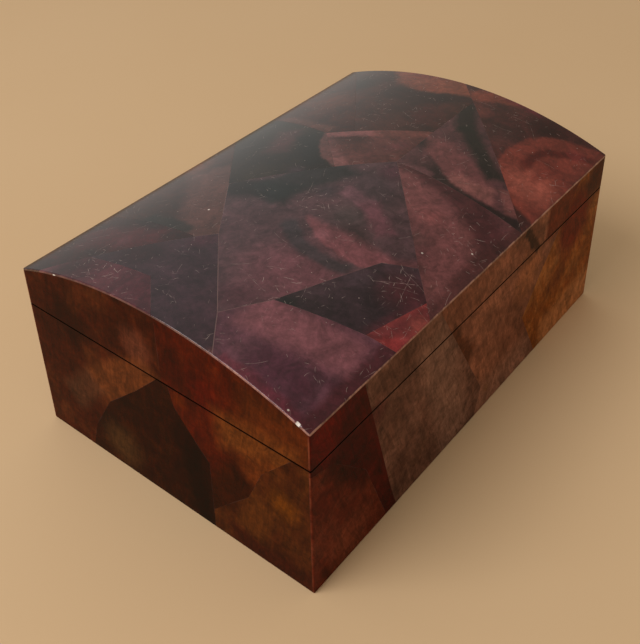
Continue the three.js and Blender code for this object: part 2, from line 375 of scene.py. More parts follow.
def slice_sheet(sheet, side, outline):
    """Cuts a flat sheet where its side curves, so that it can be bent to the arch and its arrises."""
    low = Vector((min(p.x for p in outline), min(p.y for p in outline)))
    high = Vector((max(p.x for p in outline), max(p.y for p in outline)))
    for axis, places in enumerate(side.slices(low, high)):
        normal = Vector((1 - axis, axis, 0))
        for place in places:
            if low[axis] + OFF_EDGE < place < high[axis] - OFF_EDGE:
                parts = sheet.verts[:] + sheet.edges[:] + sheet.faces[:]
                cut = {"plane_co": normal * place, "plane_no": normal}
                bmesh.ops.bisect_plane(sheet, geom=parts, dist=SAME_PLACE, **cut)


def shell_mesh(name, outline, side):
    """A closed piece of shell: its polished skin, the face on the glue and the walls between them."""
    sheet, joint = flat_piece(outline, side)
    sheet.verts.index_update()
    count = len(sheet.verts)
    points, normals, joints, chips = [], [], [], []
    for vert in sheet.verts:
        point, normal = side.skin(vert.co.x, vert.co.y)
        points.append(point)
        normals.append(normal)
        joints.append(vert[joint])
        chips.append(1.0 if side is SIDES["top"] and chip_depth(vert.co.x, vert.co.y) > 0 else 0.0)
    points += [side.glue(vert.co.x, points[vert.index]) for vert in sheet.verts]
    skin = [[vert.index for vert in face.verts] for face in sheet.faces]
    if side.turned:
        skin = [face[::-1] for face in skin]
    below = [[n + count for n in reversed(face)] for face in skin]
    walls = []
    open_edges = {frozenset(v.index for v in edge.verts) for edge in sheet.edges if edge.is_boundary}
    for face in skin:
        for start, end in zip(face, face[1:] + face[:1]):
            if frozenset((start, end)) in open_edges:
                walls.append([end, start, start + count, end + count])
    sheet.free()
    mesh = bpy.data.meshes.new(name)
    mesh.from_pydata([point * MM for point in points], [], skin + below + walls)
    mesh.attributes.new("joint", "FLOAT", "POINT").data.foreach_set("value", joints + joints)
    mesh.attributes.new("chip", "FLOAT", "POINT").data.foreach_set("value", chips + chips)
    give_normals(mesh, normals, chips, len(skin))
    return mesh


def give_normals(mesh, normals, chips, skin_faces):
    """True normals of the arch and the rounded arrises on the skin; the rest stays as cut."""
    mesh.polygons.foreach_set("use_smooth", [True] * len(mesh.polygons))
    by_loop = []
    for face in mesh.polygons:
        polished = face.index < skin_faces and not any(chips[n] for n in face.vertices)
        for n in face.vertices:
            by_loop.append(normals[n] if polished else face.normal.copy())
    mesh.normals_split_custom_set(by_loop)


# Shader sockets and finishes

class Socket:
    """A shader value in an expression: each operator adds its Math node."""

    def __init__(self, finish, socket):
        self.finish = finish
        self.socket = socket

    def math(self, operation, *values):
        return self.finish.add("ShaderNodeMath", {"operation": operation}, dict(enumerate(values)))

    def __add__(self, other):
        return self.math("ADD", self, other)

    def __radd__(self, other):
        return self.math("ADD", other, self)

    def __sub__(self, other):
        return self.math("SUBTRACT", self, other)

    def __rsub__(self, other):
        return self.math("SUBTRACT", other, self)

    def __mul__(self, other):
        return self.math("MULTIPLY", self, other)

    def __rmul__(self, other):
        return self.math("MULTIPLY", other, self)

    def __truediv__(self, other):
        return self.math("DIVIDE", self, other)

    def __rtruediv__(self, other):
        return self.math("DIVIDE", other, self)

    def __abs__(self):
        return self.math("ABSOLUTE", self)

    def larger(self, other):
        return self.math("MAXIMUM", self, other)

    def fraction(self):
        return self.math("FRACT", self)

    def parts(self):
        """A value for each output of the node that this one comes from."""
        return [Socket(self.finish, output) for output in self.socket.node.outputs]


def dye(code):
    """A colour written as six hex digits, as the linear colour that the shader takes."""
    channels = [int(code[n : n + 2], 16) / 255 for n in (0, 2, 4)]
    linear = [c / 12.92 if c <= 0.04045 else ((c + 0.055) / 1.055) ** 2.4 for c in channels]
    return (*linear, 1.0)


class Nodes:
    """The nodes of a finish or of the studio light, built from the shader outwards."""

    def __init__(self, tree, shader, output):
        self.tree = tree
        self.tree.nodes.clear()
        self.shader = self.tree.nodes.new(shader)
        end = self.tree.nodes.new(output)
        self.tree.links.new(self.shader.outputs[0], end.inputs[0])

    def add(self, kind, settings, sockets, output=0):
        """A node of a kind: its settings come first, then the values or links of its sockets."""
        node = self.tree.nodes.new(kind)
        for name, value in settings.items():
            if name == "stops":
                self.set_stops(node.color_ramp, value)
            else:
                setattr(node, name, value)
        for name, value in sockets.items():
            self.give(node.inputs[name], value)
        return Socket(self, node.outputs[output])

    def set_stops(self, ramp, stops):
        while len(ramp.elements) < len(stops):
            ramp.elements.new(0.5)
        for element, (position, colour) in zip(ramp.elements, stops):
            element.position = position
            element.color = colour

    def give(self, target, value):
        if isinstance(value, Socket):
            self.tree.links.new(value.socket, target)
        else:
            target.default_value = value

    def set(self, **values):
        for name, value in values.items():
            socket = name.replace("_", " ").title().replace("Ior", "IOR")
            self.give(self.shader.inputs[socket], value)


class Finish(Nodes):
    """A material, and the mixing, distances and noise that its colours need."""

    def __init__(self, name):
        self.material = bpy.data.materials.new(name)
        self.material.use_nodes = True
        super().__init__(self.material.node_tree, "ShaderNodeBsdfPrincipled", "ShaderNodeOutputMaterial")

    def place(self):
        """Where a point lies on the object, in metres."""
        return self.add("ShaderNodeTexCoord", {}, {}, output="Object")

    def mix(self, share, first, second, blend="MIX"):
        settings = {"data_type": "RGBA", "blend_type": blend}
        return self.add("ShaderNodeMix", settings, {0: share, 6: first, 7: second}, output=2)

    def vector(self, operation, first, second, output=0):
        return self.add("ShaderNodeVectorMath", {"operation": operation}, {0: first, 1: second}, output)

    def distance(self, first, second):
        return self.vector("DISTANCE", first, second, output=1)

    def dot(self, first, second):
        return self.vector("DOT_PRODUCT", first, second, output=1)

    def turned(self, place, angle):
        return self.add("ShaderNodeVectorRotate", {"rotation_type": "Z_AXIS"}, {0: place, "Angle": angle})

    def ease(self, value, start, end, low=0.0, high=1.0):
        """Goes smoothly from one level to the other as a value goes from start to end."""
        if start > end:
            start, end, low, high = end, start, high, low
        settings = {"interpolation_type": "SMOOTHSTEP"}
        return self.add("ShaderNodeMapRange", settings, {0: value, 1: start, 2: end, 3: low, 4: high})

    def noise(self, place, scale, detail, roughness=0.5, distortion=0.0, output=0):
        sockets = {
            "Vector": place,
            "Scale": scale,
            "Detail": detail,
            "Roughness": roughness,
            "Distortion": distortion,
        }
        return self.add("ShaderNodeTexNoise", {}, sockets, output)

    def bump(self, height, distance, strength):
        """A Bump node on the shader's normal; its height is in millimetres."""
        sockets = {"Height": height, "Distance": distance * MM, "Strength": strength}
        self.give(self.shader.inputs["Normal"], self.add("ShaderNodeBump", {}, sockets))


# Where the lid has been scuffed most: the middle and the reach of each patch
SCUFFED = [
    ((-136, 50), 18),
    ((-92, -36), 16),
    ((-46, -77), 17),
    ((14, -82), 16),
    ((-24, -8), 12),
    ((88, 30), 9),
]

# How much of the red, green and blue of a dye comes through the lacquer of each side
LACQUER = {
    "top": (0.56, 0.36, 0.38),
    "front": (0.6, 0.36, 0.3),
    "back": (0.6, 0.36, 0.3),
    "left": (0.6, 0.34, 0.25),
    "right": (0.6, 0.34, 0.25),
}

# Which way the growth leans on the upright sides, in radians; on the top each piece has its own lean
GROWTH_LEAN = {"front": 1.23, "back": 1.9, "left": 1.42, "right": 1.75}

# How far in from an arris it is rubbed: at the lid's ends and sides, and on the front, back and ends
RUBBED_LID_END = 0.42
RUBBED_LID_SIDE = 0.34
RUBBED_SIDE = 0.26
RUBBED_END = 0.2

# How rough the lacquer is where nothing has worn it
GLOSS = 0.04

# Steps that keep the noise and lean of one piece, and one field of scratches, apart from the next; the
# last one draws the length of a scratch from its bend
NOISE_STEP = 41.0
LEAN_STEP = 0.83
FIELD_STEP = (173.0, 91.0)
LENGTH_STEP = 7.31


class Shell(Finish):
    """Dyed shell under lacquer. Places on it are in millimetres, in the plan of its side."""

    def __init__(self, name, side, seed, dark, middle, light):
        super().__init__(name)
        self.side = side
        self.upright = side != "top"
        self.lean = GROWTH_LEAN.get(side, seed * LEAN_STEP)
        self.rubbed = "8a4a30" if self.upright else "b48478"
        x, y, z = self.add("ShaderNodeSeparateXYZ", {}, {0: self.place()}).parts()
        first, second = {"top": (x, y), "front": (x, z), "back": (x, z)}.get(side, (y, z))
        self.first = first * PER_METRE
        self.second = second * PER_METRE
        on_face = {0: self.first, 1: self.second}
        self.flat = self.add("ShaderNodeCombineXYZ", {}, {**on_face, 2: 0.0})
        self.own = self.add("ShaderNodeCombineXYZ", {}, {**on_face, 2: seed * NOISE_STEP})
        self.bent = self.swirled()
        self.pale_glue = 0.0
        self.colour = self.clouds(dark, middle, light)

    def swirled(self):
        """The plan, pushed about by soft and by fine noise, as growth in shell is never a true arc."""
        place = self.flat
        for scale, amount, detail in ((0.035, 6.5, 1.0), (0.14, 6.0, 6.0)):
            drift = self.noise(self.own, scale, detail, 0.6, output=1)
            centred = self.vector("SUBTRACT", drift, (0.5, 0.5, 0.5))
            place = self.vector("ADD", place, self.vector("MULTIPLY", centred, (amount, amount, 0.0)))
        return place

    def drawn_out(self, across, along):
        """The plan, turned and squeezed so that noise in it runs in wisps along the growth."""
        return self.vector("MULTIPLY", self.turned(self.own, self.lean), (along, across, 1.0))

    def clouds(self, dark, middle, light):
        """Smoky dye: broad soft clouds, wisps and a fine mottle."""
        broad = self.noise(self.own, 0.028, 4.0, 0.55, 0.6)
        fine = self.noise(self.own, 0.16, 6.0, 0.62)
        wisps = self.noise(self.drawn_out(0.1, 0.045), 1.0, 5.0, 0.62, 0.8)
        level = broad * 0.5 + fine * 0.22 + wisps * 0.28
        stops = [(0.38, self.tone(dark)), (0.5, self.tone(middle)), (0.63, self.tone(light))]
        return self.add("ShaderNodeValToRGB", {"stops": stops}, {0: level})

    def mottle(self):
        """Smoke, wisps and specks through every dye and blush."""
        smoke = self.noise(self.own, 0.085, 6.0, 0.7, 0.7)
        wisps = self.noise(self.drawn_out(0.3, 0.05), 1.0, 5.0, 0.66, 1.2)
        specks = self.noise(self.own, 0.34, 5.0, 0.72, 0.4)
        streaky = (0.78, 1.24) if self.upright else (0.93, 1.07)
        shade = self.ease(smoke, 0.3, 0.7, 0.68, 1.34) * self.ease(wisps, 0.32, 0.68, *streaky)
        shade = shade * self.ease(specks, 0.3, 0.7, 0.82, 1.2)
        self.colour = self.mix(1.0, self.colour, shade, "MULTIPLY")
        if self.upright:
            spots = self.ease(self.noise(self.own, 0.2, 4.0, 0.6, 1.0), 0.62, 0.7)
            self.paint(spots, "1c0800", 0.35)

    def tone(self, code):
        """A dye as it looks through the lacquer, which deepens it."""
        deepened = [part * kept for part, kept in zip(dye(code), LACQUER[self.side])]
        return (*deepened, 1.0)

    def paint(self, mask, code, strength=1.0):
        share = mask if strength == 1.0 else mask * strength
        self.colour = self.mix(share, self.colour, self.tone(code))

    def disc(self, centre, radius, soft, place=None):
        gap = self.distance(place or self.bent, (centre[0], centre[1], 0.0))
        return self.ease(gap, radius - soft / 2, radius + soft / 2, 1.0, 0.0)

    def ring(self, centre, radius, half_width, soft):
        gap = abs(self.distance(self.bent, (centre[0], centre[1], 0.0)) - radius)
        return self.ease(gap, half_width, half_width + soft, 1.0, 0.0)

    def beside(self, start, end, soft):
        """One on the right of the line from start to end, nought on its left."""
        run = (Vector(end) - Vector(start)).normalized()
        reach = self.dot(self.bent, (run.y, -run.x, 0.0))
        return self.ease(reach - (run.y * start[0] - run.x * start[1]), -soft / 2, soft / 2)

    def streak(self, start, end, half_width, soft, place=None):
        """A band along the line from start to end, with blunt ends."""
        start, end = Vector(start), Vector(end)
        run = (end - start).normalized()
        reach = (end - start).length
        from_start = self.vector("SUBTRACT", place or self.bent, (start.x, start.y, 0.0))
        along = self.dot(from_start, (run.x, run.y, 0.0))
        across = self.dot(from_start, (-run.y, run.x, 0.0))
        past = abs(along - reach / 2) - reach / 2
        aside = abs(across) - half_width
        return self.ease(past.larger(aside), 0.0, soft, 1.0, 0.0)

    def pale_joint(self, start, end, strength):
        """A joint whose glue shows pale between two places."""
        line = self.streak(start, end, 1.2, 0.6, self.flat) * strength
        self.pale_glue = line.larger(self.pale_glue)

    def nick(self, place, radius):
        """A small bright spot where the lacquer has been knocked out."""
        spot = self.disc(place, radius, 0.5, self.flat)
        self.colour = self.mix(spot * 0.85, self.colour, dye("e8d8cc"))

    def score(self, start, end, strength):
        """One long scratch."""
        line = self.streak(start, end, 0.03, 0.13, self.flat)
        broken = self.ease(self.noise(self.flat, 0.5, 2.0), 0.35, 0.55, 0.3, 1.0)
        self.colour = self.mix(line * broken * strength, self.colour, dye("b89a94"))

    def scratch_field(self, turn, cell, reach, width, density, bow=0.25):
        """Hairline scratches, one in each cell of a loose grid, turned every way and of every length."""
        place = self.vector("ADD", self.flat, (turn * FIELD_STEP[0], turn * FIELD_STEP[1], 0.0))
        cells = {"Vector": place, "Scale": 1.0 / cell, "Randomness": 1.0}
        chance = self.add("ShaderNodeTexVoronoi", {"voronoi_dimensions": "2D"}, cells, output=1)
        middle = Socket(self, chance.socket.node.outputs["Position"])
        away = self.vector("SUBTRACT", place, middle)
        angle, pick, bend = self.add("ShaderNodeSeparateColor", {}, {0: chance}).parts()
        rotated = self.turned(away, angle * (2 * math.pi))
        along, across, _ = self.add("ShaderNodeSeparateXYZ", {}, {0: rotated}).parts()
        curved = across + along * along * (bend - 0.5) * (bow / reach)
        length = (bend * LENGTH_STEP).fraction() * (reach * 0.75) + reach * 0.25
        thin = self.ease(abs(curved), width * 0.5, width, 1.0, 0.0)
        short = self.ease(abs(along) / length, 0.75, 1.0, 1.0, 0.0)
        return thin * short * self.ease(pick, 1 - density - 0.02, 1 - density)

    def lacquer(self, wear):
        """The polished skin over the dye, with worn joints and arrises, chips, a faint ripple and, on the
        upright sides, painted shade along the seam between the body and the lid.
        """
        self.worn_edges_and_seam_shade(wear)
        rub = self.noise(self.own, 0.05, 4.0, 0.6)
        smear = self.noise(self.own, 0.4, 3.0, 0.6)
        ripple = self.noise(self.own, 0.022, 2.0, 0.4)
        level = rub * 0.06 + smear * 0.05 + GLOSS
        self.set(roughness=level + self.wear_mask * 0.3, base_color=self.colour, ior=1.5)
        if self.upright:
            self.set(specular_ior_level=0.0, coat_weight=0.22, coat_roughness=0.07)
        self.bump(ripple * 0.3 + smear * 0.006 - self.wear_mask * 0.04, 1.0, 0.35)

    def worn_edges_and_seam_shade(self, wear):
        broken = self.ease(self.noise(self.own, 0.09, 3.0, 0.6), 0.42, 0.66) * (0.4 * wear)
        glue = self.ease(self.attribute("joint"), 0.45, 0.9) * broken.larger(self.pale_glue)
        self.colour = self.mix(glue, self.colour, dye("8a6a66"))
        chip = self.ease(self.attribute("chip"), 0.3, 0.7)
        arris = self.arris_wear()
        self.colour = self.mix(arris, self.colour, dye(self.rubbed))
        # Painted shade: a near-black line along the seam between the body and the lid, where the narrow
        # gap falls into shade.
        if self.upright:
            gap = abs(self.second - SEAM)
            self.colour = self.mix(self.ease(gap, 0.45, 0.75, 0.9, 0.0), self.colour, dye("060201"))
        self.colour = self.mix(chip, self.colour, dye("f0e6dc"))
        self.wear_mask = chip.larger(glue).larger(arris * 0.6)

    def arris_wear(self):
        """The lacquer is rubbed thin and pale along the arrises."""
        ragged = self.noise(self.own, 0.12, 4.0, 0.65)
        if self.side == "top":
            end = abs(self.first) - (HALF_LENGTH - RUBBED_LID_END)
            side = abs(self.second) - (HALF_WIDTH - RUBBED_LID_SIDE)
            near = end.larger(side)
        elif self.side in ("front", "back"):
            near = abs(self.first) - (HALF_LENGTH - RUBBED_SIDE)
        else:
            near = abs(self.first) - (HALF_WIDTH - SHELL - RUBBED_END)
        edge = self.ease(near + (ragged - 0.5) * 0.5, 0.0, 0.3)
        if self.side == "top":
            handled = self.ease(self.second, -60.0, 0.0, 1.0, 0.25)
            share = (0.3, 0.95)
        else:
            handled = self.ease(self.second, 60.0, 95.0, 0.4, 1.0)
            share = (0.05, 0.7)
        return edge * self.ease(ragged, 0.4, 0.6, *share) * handled

    def attribute(self, name):
        return self.add("ShaderNodeAttribute", {"attribute_name": name}, {}, output=2)

    def scratches(self):
        """Fine pale scratches from use, in tufts and drifts over the lid."""
        fine = self.scratch_field(1, 4.2, 2.1, 0.11, 0.5, 0.6)
        crossing = self.scratch_field(2, 7.5, 3.9, 0.11, 0.5, 0.6)
        long = self.scratch_field(3, 18.0, 9.0, 0.1, 0.5, 0.4)
        nicks = self.scratch_field(4, 9.0, 0.4, 0.24, 0.25)
        tuft = self.ease(self.noise(self.flat, 0.07, 2.0, 0.5), 0.5, 0.62, 0.03, 0.7)
        for place, radius in SCUFFED:
            tuft = tuft.larger(self.disc(place, radius, radius))
        depth = self.ease(self.noise(self.flat, 0.3, 2.0), 0.36, 0.62, 0.15, 1.0)
        marks = (fine.larger(crossing) * tuft).larger(long * 0.55) * depth
        marks = marks.larger(nicks * depth)
        self.colour = self.mix(marks * 0.8, self.colour, dye("c8b0a6"))


# The pieces of shell on the top, each with the growth bands and blushes of its own shell

def front_left_corner(shell):
    shell.paint(shell.disc((-136, -68), 14, 16), "5c3048", 0.65)
    shell.paint(shell.streak((-114, -40), (-104, -86), 6, 13), "a0747a", 0.85)
    shell.paint(shell.streak((-150, -50), (-150, -98), 2, 5), "842c44", 0.55)
    shell.paint(shell.streak((-150, -99), (-84, -98), 2.5, 6), "54222a", 0.8)
    shell.nick((-147.8, -86.3), 0.5)
    shell.pale_joint((-150, -43), (-128, -26), 0.8)
    shell.pale_joint((-128, -26), (-103, -40), 0.5)


def red_wedge(shell):
    shell.paint(shell.streak((-86, -87), (-44, -100), 1, 6), "70383c", 0.75)
    shell.paint(shell.disc((-80, -98), 6, 7), "a4383c", 0.6)
    shell.paint(shell.disc((-60, -100), 6, 8), "b86c5c", 0.6)


def dark_kite(shell):
    shell.paint(shell.disc((-99, -46), 5, 9), "142420", 0.85)
    shell.paint(shell.disc((-50, -82), 12, 20), "5c2a32", 0.75)
    shell.paint(shell.streak((-84, -88), (-56, -94), 1.5, 7), "74404a", 0.6)
    shell.paint(shell.disc((-62, -60), 6, 10), "5e5660", 0.5)
    shell.score((-56, -66), (-41, -82), 0.6)
    shell.score((-37, -71), (-41, -88), 0.35)
    shell.score((-60, -84), (-36, -77), 0.4)


def centre(shell):
    shell.paint(shell.disc((-82, -36), 24, 34), "8c646c", 0.8)
    shell.paint(shell.disc((-114, -25), 10, 14), "5a3240", 0.5)
    shell.paint(shell.disc((-62, 14), 14, 22), "584448", 0.6)
    shell.paint(shell.streak((-37, 48), (-28, 14), 6, 9), "040c08", 0.92)
    shell.paint(shell.streak((-32, 25), (14, 6), 8, 10), "1e302e", 0.88)
    shell.paint(shell.disc((6, -20), 16, 22), "4a484e", 0.6)
    shell.paint(shell.disc((28, -22), 8, 12), "683c50", 0.5)
    bay = shell.ring((-22, -36), 40.5, 2.2, 5) * shell.disc((-62, -28), 27, 8)
    shell.paint(bay, "42484c", 0.85)
    shell.paint(shell.disc((-24, -26), 9, 14), "545a56", 0.6)
    shell.paint(shell.disc((-34, -40), 6, 12), "342c2c", 0.85)
    shell.paint(shell.disc((-14, -3), 7, 11), "3c4248", 0.7)
    shell.paint(shell.streak((-7, -14), (-8, -31), 2, 6), "947680", 0.7)
    shell.paint(shell.streak((-9, -31), (-21, -48), 2, 7), "8a606c", 0.7)
    flame = shell.disc((-7, -43), 47, 3) * shell.beside((-40, -6), (-34, -70), 8)
    shell.paint(flame * shell.disc((-44, -38), 33, 10), "98696e", 0.9)
    shell.paint(shell.disc((-47, -27), 3, 9), "b88a90", 0.8)
    shell.paint(shell.streak((-46, -61), (-31, -76), 2, 6), "845a5c", 0.7)
    shell.pale_joint((-128, -26), (-35, 53), 0.85)
    shell.pale_joint((-128, -26), (-103, -40), 0.5)
    shell.pale_joint((-103, -40), (-42, -61), 0.3)


def front_middle(shell):
    shell.paint(shell.ring((-60, -25), 79, 4, 17), "966a68", 0.85)
    shell.paint(shell.disc((9, -60), 4, 13), "b07470", 0.75)
    shell.paint(shell.disc((-12, -62), 6, 10), "6a5450", 0.6)
    shell.paint(shell.ring((-60, -25), 104, 5, 10), "4e262c", 0.8)
    shell.paint(shell.streak((-52, -99), (41, -99), 2.5, 7), "542e2c", 0.75)
    shell.nick((-19, -72), 0.55)
    shell.nick((3, -90), 0.5)


def blade(shell):
    lens = shell.disc((103, -67), 61, 4) * shell.disc((0, -20), 76, 12)
    shell.paint(lens, "8e6260", 0.85)
    shell.paint(shell.streak((48, -52), (51, -70), 2, 8), "ac8076", 0.8)
    shell.paint(shell.streak((50, -90), (62, -79), 1.5, 5), "a6746c", 0.7)
    stripe = shell.ring((103, -67), 65.5, 2.2, 5) * shell.disc((42, -70), 38, 22)
    shell.paint(stripe, "281a1a", 0.9)
    shell.paint(shell.disc((66, -16), 4, 10), "000404", 0.9)
    shell.paint(shell.streak((128, -9), (98, -28), 3, 7), "121a14", 0.9)
    shell.paint(shell.streak((98, -28), (69, -64), 2.4, 7), "1c241c", 0.9)
    shell.paint(shell.streak((39, -18), (40, -38), 0.3, 4), "8a686a", 0.7)


def front_right_corner(shell):
    shell.paint(shell.disc((138, -62), 11, 14), "340a06", 0.85)
    shell.paint(shell.disc((100, -105), 47.5, 4), "98503e", 0.88)
    shell.paint(shell.disc((80, -84), 14, 18), "c47c64", 0.9)
    arc = shell.ring((95, -116), 44, 1.1, 4) * shell.disc((116, -82), 27, 14)
    shell.paint(arc, "601c14", 0.88)
    inner = shell.ring((92, -112), 29, 0.6, 5) * shell.disc((96, -82), 12, 18)
    shell.paint(inner, "94483a", 0.6)
    shell.paint(shell.disc((131, -88), 5, 9), "a8504a", 0.6)
    shell.paint(shell.streak((138, -8), (150, -32), 3.5, 6), "96563f", 0.85)
    shell.paint(shell.streak((150, -30), (150, -50), 1, 6), "803040", 0.6)
    shell.paint(shell.disc((108, -46), 10, 14), "583e3a", 0.5)


def fan(shell):
    shell.paint(shell.ring((56, -4), 44, 2.5, 6), "86605c", 0.8)
    shell.paint(shell.disc((15, 14), 5, 14), "a27c74", 0.8)
    shell.paint(shell.streak((45, 34), (45, 18), 1.5, 9), "420c08", 0.85)
    shell.paint(shell.streak((45, 40), (58, 14), 2.5, 4), "a67874", 0.85)
    shell.paint(shell.streak((58, 14), (78, -12), 2, 6), "8c5c50", 0.75)
    shell.paint(shell.disc((36, 18), 7, 12), "60382e", 0.65)
    shell.paint(shell.streak((46, -2), (58, -9), 1, 6), "6c4246", 0.6)


def right(shell):
    shell.paint(shell.streak((115, 42), (120, 10), 4, 12), "2e1010", 0.75)
    shell.paint(shell.streak((122, 6), (133, -12), 2, 8), "28141a", 0.6)
    shell.paint(shell.disc((122, 72), 12, 20), "140202", 0.75)
    shell.paint(shell.disc((98, 0), 12, 16), "5c2624", 0.5)
    shell.paint(shell.disc((160, 26), 35, 7), "9a5e42", 0.92)
    shell.paint(shell.disc((138, 30), 4, 12), "a87050", 0.6)
    shell.paint(shell.streak((137, 14), (150, -24), 5, 6), "9a6246", 0.9)
    shell.paint(shell.disc((152, 36), 8, 12), "9c4038", 0.6)
    shell.nick((54, 40), 0.5)


def back_right_corner(shell):
    shell.paint(shell.streak((51, 44), (57, 90), 1.6, 4), "6e4a3c", 0.75)
    shell.paint(shell.disc((92, 74), 12, 20), "703e26", 0.7)
    shell.paint(shell.disc((60, 58), 5, 9), "300402", 0.5)


def back_middle(shell):
    shell.paint(shell.disc((-20, 44), 10, 16), "38361e", 0.7)
    shell.paint(shell.disc((-4, 26), 4, 9), "4a3e4a", 0.7)
    shell.paint(shell.streak((16, 57), (34, 66), 1, 11), "643e42", 0.65)
    shell.paint(shell.streak((8, 24), (34, 50), 3, 7), "020a06", 0.85)
    shell.paint(shell.disc((56, -4), 47, 3), "7e5a54", 0.85)
    shell.paint(shell.disc((16, 84), 14, 16), "060602", 0.7)


def back_strip(shell):
    shell.paint(shell.streak((-86, 24), (-24, 74), 9, 12), "70564c", 0.88)
    shell.paint(shell.streak((-87, 36), (-84, 68), 2.5, 6), "0c2218", 0.8)
    # Partly the shell's own paler colour and partly a painted highlight: bright light reflected in the
    # lacquer at the back edge.
    shell.paint(shell.disc((-20, 96), 10, 16), "8a5840", 0.6)
    shell.nick((-64, 41), 0.6)
    shell.pale_joint((-80, 18), (-35, 53), 0.6)


def back_left_corner(shell):
    shell.paint(shell.streak((-102, 46), (-114, 84), 5, 12), "602028", 0.75)
    shell.paint(shell.disc((-110, 60), 3, 10), "86505a", 0.7)


def left(shell):
    shell.paint(shell.disc((-112, 44), 14, 22), "2e0610", 0.85)
    shell.paint(shell.disc((-90, 20), 6, 10), "602e42", 0.5)
    shell.paint(shell.disc((-150, -43), 2, 13), "b47c70", 0.9)
    shell.nick((-135, 64), 0.5)
    shell.pale_joint((-150, -43), (-80, 18), 0.85)


def left_patch(shell):
    shell.paint(shell.disc((-142, 68), 9, 14), "2a0808", 0.7)
    shell.paint(shell.disc((-145, 38), 6, 12), "804650", 0.6)


# The pieces of shell on the front, in a browner dye

def front_left(shell):
    shell.paint(shell.disc((-118, 14), 14, 18), "84543e", 0.6)
    shell.paint(shell.streak((-134, 79), (-107, 50), 3, 9), "3a0400", 0.85)
    shell.paint(shell.disc((-142, 62), 8, 12), "621a06", 0.6)


def front_band(shell):
    shell.paint(shell.disc((-138, 101), 12, 14), "741008", 0.75)
    shell.paint(shell.disc((-118, 104), 4, 9), "6c1a28", 0.6)
    shell.paint(shell.streak((-128, 84), (-114, 66), 5, 9), "460404", 0.85)


def front_middle_left(shell):
    shell.paint(shell.disc((-98, 84), 8, 12), "64383a", 0.7)
    shell.paint(shell.disc((-58, 20), 6, 12), "6c5a4a", 0.6)
    shell.paint(shell.streak((-46, 90), (-22, 10), 6, 16), "a09488", 0.7)


def front_middle_right(shell):
    shell.paint(shell.streak((-30, 86), (-9, 58), 3.5, 6), "583000", 0.75)
    shell.paint(shell.disc((56, 74), 14, 22), "ba9064", 0.75)
    shell.paint(shell.streak((78, 101), (112, 101), 11, 6), "742e04", 0.88)
    shell.paint(shell.streak((48, 108), (64, 88), 1.6, 3), "200800", 0.85)
    shell.paint(shell.streak((-2, 8), (60, 8), 3, 22), "a89484", 0.75)
    shell.paint(shell.disc((15, 14), 3, 8), "8a7450", 0.6)


def front_right(shell):
    shell.paint(shell.disc((114, 80), 22, 16), "721802", 0.88)
    shell.paint(shell.disc((142, 102), 16, 16), "400200", 0.85)
    shell.paint(shell.streak((92, 8), (146, 10), 5, 16), "dcb67e", 0.75)
    shell.paint(shell.disc((66, 38), 6, 10), "985c08", 0.7)
    shell.paint(shell.disc((144, 34), 4, 8), "8a4800", 0.6)


# The pieces of shell on the left end

def left_back(shell):
    shell.paint(shell.streak((6, 88), (46, 56), 7, 9), "7e5630", 0.85)
    shell.paint(shell.disc((13, 103), 9, 14), "7e5644", 0.8)
    shell.paint(shell.disc((66, 92), 15, 16), "280400", 0.8)
    shell.paint(shell.streak((72, 36), (54, 54), 4, 9), "6c5844", 0.5)


def left_bell(shell):
    shell.paint(shell.disc((36, 18), 12, 20), "5c4e30", 0.75)
    shell.paint(shell.streak((-20, 46), (-26, 2), 3, 9), "120000", 0.8)


def left_middle(shell):
    shell.paint(shell.disc((-12, 102), 12, 16), "360200", 0.8)
    shell.paint(shell.disc((-34, 98), 9, 14), "600e02", 0.6)
    shell.paint(shell.streak((-66, 103), (-100, 98), 6, 18), "6a3e16", 0.8)
    shell.paint(shell.streak((-50, 80), (-84, 83), 3, 16), "8a602a", 0.88)
    shell.paint(shell.disc((-15, 82), 4, 7), "783a02", 0.7)
    shell.paint(shell.disc((-26, 66), 6, 9), "5a1404", 0.6)
    # Painted shade: a soft dark streak low on this piece, beside its joint with the front piece; the right
    # end's middle piece shares it.
    shell.paint(shell.streak((-34, 18), (-56, 52), 7, 12), "341400", 0.88)
    shell.paint(shell.streak((-62, 61), (-76, 74), 2, 10), "784a1c", 0.8)


def left_front(shell):
    shell.paint(shell.disc((-82, 52), 8, 14), "845c0e", 0.65)
    shell.paint(shell.streak((-68, 40), (-60, 20), 4, 9), "765220", 0.55)
    shell.paint(shell.disc((-43, 30), 6, 12), "320a00", 0.75)
    shell.paint(shell.streak((-96, 5), (-50, 5), 4, 9), "40100a", 0.65)


# Each row: the dark, middle and light tone of the dye, and what else its shell shows
TOP_SHELL = {
    "front_left_corner": ("5a3444", "6e4e5c", "84606c", front_left_corner),
    "red_wedge": ("94403e", "a85250", "b8605a", red_wedge),
    "dark_kite": ("342c34", "443a42", "564a52", dark_kite),
    "centre": ("524248", "645458", "766064", centre),
    "front_middle": ("5c3a3e", "765052", "8c645e", front_middle),
    "blade": ("4a383a", "664a4c", "785656", blade),
    "front_right_corner": ("422018", "582e2a", "704036", front_right_corner),
    "fan": ("583834", "6c4640", "7e5850", fan),
    "right": ("381c16", "4a2a22", "5c382c", right),
    "back_right_corner": ("340a06", "4a1c0e", "5e3220", back_right_corner),
    "back_middle": ("0c0802", "201a0c", "30281a", back_middle),
    "back_strip": ("281006", "402416", "56382c", back_strip),
    "back_left_corner": ("200202", "380a0a", "4e1616", back_left_corner),
    "left": ("382832", "483842", "58424c", left),
    "left_patch": ("4c1c28", "62303c", "76424c", left_patch),
}

